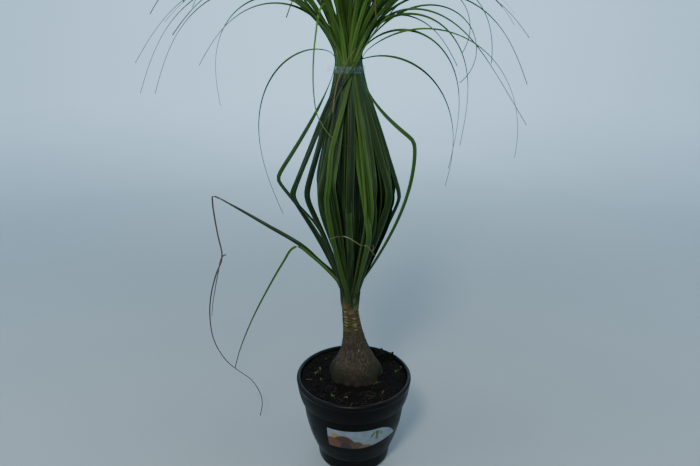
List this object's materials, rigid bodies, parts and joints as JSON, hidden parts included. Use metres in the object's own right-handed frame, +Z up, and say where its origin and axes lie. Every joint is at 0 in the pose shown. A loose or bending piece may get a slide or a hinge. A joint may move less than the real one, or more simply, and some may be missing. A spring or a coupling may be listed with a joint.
{
  "type": "potted ponytail palm",
  "caption": "Potted ponytail palm with a swollen trunk base, long strap leaves gathered by a tape tie and arching above it, in a round lipped nursery pot.",
  "frame": {"origin": "middle of the pot's underside, on the surface that it stands on", "axes": "+Z up the trunk, -Y towards the side that carries the label, +X to the right as seen from there"},
  "size_m": [0.7233, 0.6861, 1.0819],
  "materials": {
    "pot_plastic": "black moulded polypropylene, semi-gloss, with faint moulding rings",
    "potting_soil": "damp peat and bark mix, crumbly and matt",
    "bark": "corky grey-brown bark, matt, with leaf scars at the neck",
    "leaf": "smooth green leaf with fine long veins, soft sheen",
    "dry_leaf": "dry brown shrivelled leaf, matt",
    "clear_tape": "clear film tape, glossy",
    "label_film": "printed film label, satin"
  },
  "bodies": {
    "root": {"pot": "pot_plastic", "soil": "potting_soil", "trunk": "bark", "leaf_crown": "leaf", "dry_leaf_end": "dry_leaf", "tape_tie": "clear_tape", "label": "label_film"}
  },
  "joints": []
}
